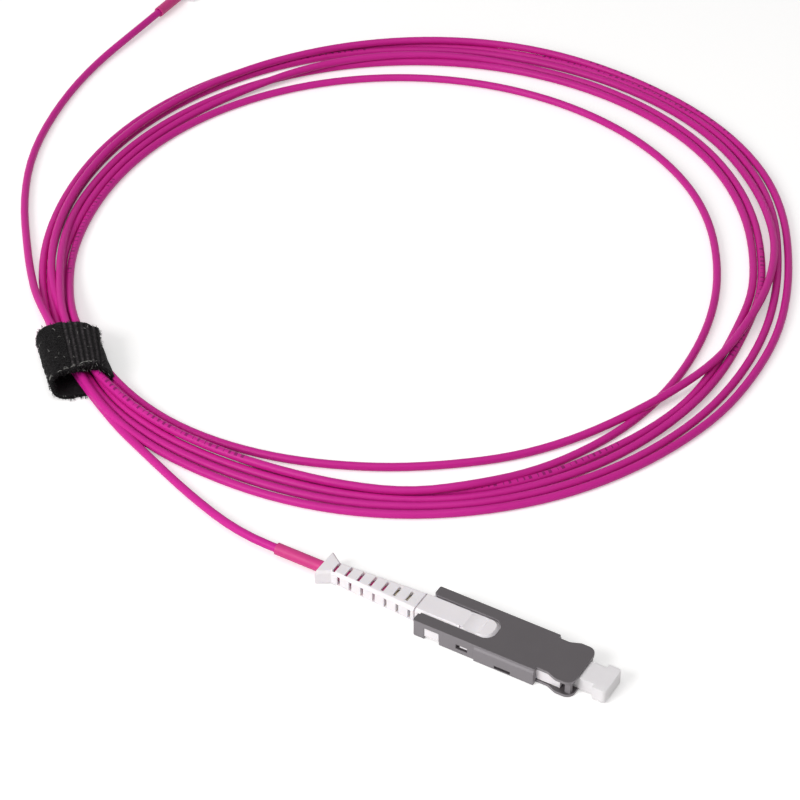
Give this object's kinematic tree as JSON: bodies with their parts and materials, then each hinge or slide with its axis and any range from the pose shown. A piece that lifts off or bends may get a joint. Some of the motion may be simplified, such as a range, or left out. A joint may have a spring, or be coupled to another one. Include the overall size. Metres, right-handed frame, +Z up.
{
  "type": "duplex fibre patch cord",
  "caption": "Coiled magenta fibre patch cord with a flat grey push-pull duplex plug at each end, ribbed white boots, dust caps and a black hook-and-loop tie.",
  "frame": {"origin": "underside of plug A's housing, on its centre line at the shoulder where the side walls stop", "axes": "+X along plug A towards its mating end, +Z up from the surface the cord lies on"},
  "size_m": [0.1897, 0.2077, 0.0076],
  "materials": {
    "grey_moulding": "moulded, fine satin",
    "white_moulding": "moulded, satin",
    "white_boot": "soft moulded, matt",
    "clear_cap": "translucent moulded",
    "crimp_metal": "drawn and crimped",
    "zirconia": null,
    "plated_metal": "turned and plated",
    "spring_wire": "drawn wire",
    "coated_fibre": "coated glass fibre",
    "magenta_jacket": "extruded, satin",
    "magenta_sleeve": "shrunk tube, satin",
    "black_strap": "woven hook-and-loop"
  },
  "bodies": {
    "cord_and_plugs": {"housing_a": "grey_moulding", "rear_body_a": "white_moulding", "front_body_a": "white_moulding", "crimp_ring_a": "crimp_metal", "shrink_sleeve_a": "magenta_sleeve", "ferrule_spring_left_a": "spring_wire", "ferrule_spring_right_a": "spring_wire", "housing_b": "grey_moulding", "rear_body_b": "white_moulding", "front_body_b": "white_moulding", "crimp_ring_b": "crimp_metal", "shrink_sleeve_b": "magenta_sleeve", "ferrule_spring_left_b": "spring_wire", "ferrule_spring_right_b": "spring_wire", "cord_coil": "magenta_jacket", "cord_tail_a": "magenta_jacket", "cord_tail_b": "magenta_jacket", "hook_and_loop_tie": "black_strap"},
    "boot_slide_a": {"push_pull_slider_a": "white_moulding", "boot_a": "white_boot"},
    "cap_a": {"dust_cap_a": "clear_cap"},
    "ferrule_set_left_a": {"ferrule_left_a": "zirconia", "ferrule_flange_left_a": "plated_metal", "fibre_left_a": "coated_fibre"},
    "ferrule_set_right_a": {"ferrule_right_a": "zirconia", "ferrule_flange_right_a": "plated_metal", "fibre_right_a": "coated_fibre"},
    "boot_slide_b": {"push_pull_slider_b": "white_moulding", "boot_b": "white_boot"},
    "cap_b": {"dust_cap_b": "clear_cap"},
    "ferrule_set_left_b": {"ferrule_left_b": "zirconia", "ferrule_flange_left_b": "plated_metal", "fibre_left_b": "coated_fibre"},
    "ferrule_set_right_b": {"ferrule_right_b": "zirconia", "ferrule_flange_right_b": "plated_metal", "fibre_right_b": "coated_fibre"}
  },
  "joints": [
    {"name": "boot_pull_a", "type": "slide", "parent": "cord_and_plugs", "child": "boot_slide_a", "axis": [-1, 0, 0], "range_m": [0, 0.0014]},
    {"name": "cap_pull_a", "type": "slide", "parent": "cord_and_plugs", "child": "cap_a", "axis": [1, 0, 0], "range_m": [0, 0.012]},
    {"name": "ferrule_press_left_a", "type": "slide", "parent": "cord_and_plugs", "child": "ferrule_set_left_a", "axis": [-1, 0, 0], "range_m": [0, 0.0007], "stiffness_N_per_m": 500, "springref_m": -0.002, "deforming": ["ferrule_spring_left_a"]},
    {"name": "ferrule_press_right_a", "type": "slide", "parent": "cord_and_plugs", "child": "ferrule_set_right_a", "axis": [-1, 0, 0], "range_m": [0, 0.0007], "stiffness_N_per_m": 500, "springref_m": -0.002, "deforming": ["ferrule_spring_right_a"]},
    {"name": "boot_pull_b", "type": "slide", "parent": "cord_and_plugs", "child": "boot_slide_b", "axis": [0, -1, 0], "range_m": [0, 0.0014]},
    {"name": "cap_pull_b", "type": "slide", "parent": "cord_and_plugs", "child": "cap_b", "axis": [0, 1, 0], "range_m": [0, 0.012]},
    {"name": "ferrule_press_left_b", "type": "slide", "parent": "cord_and_plugs", "child": "ferrule_set_left_b", "axis": [0, -1, 0], "range_m": [0, 0.0007], "stiffness_N_per_m": 500, "springref_m": -0.002, "deforming": ["ferrule_spring_left_b"]},
    {"name": "ferrule_press_right_b", "type": "slide", "parent": "cord_and_plugs", "child": "ferrule_set_right_b", "axis": [0, -1, 0], "range_m": [0, 0.0007], "stiffness_N_per_m": 500, "springref_m": -0.002, "deforming": ["ferrule_spring_right_b"]}
  ]
}
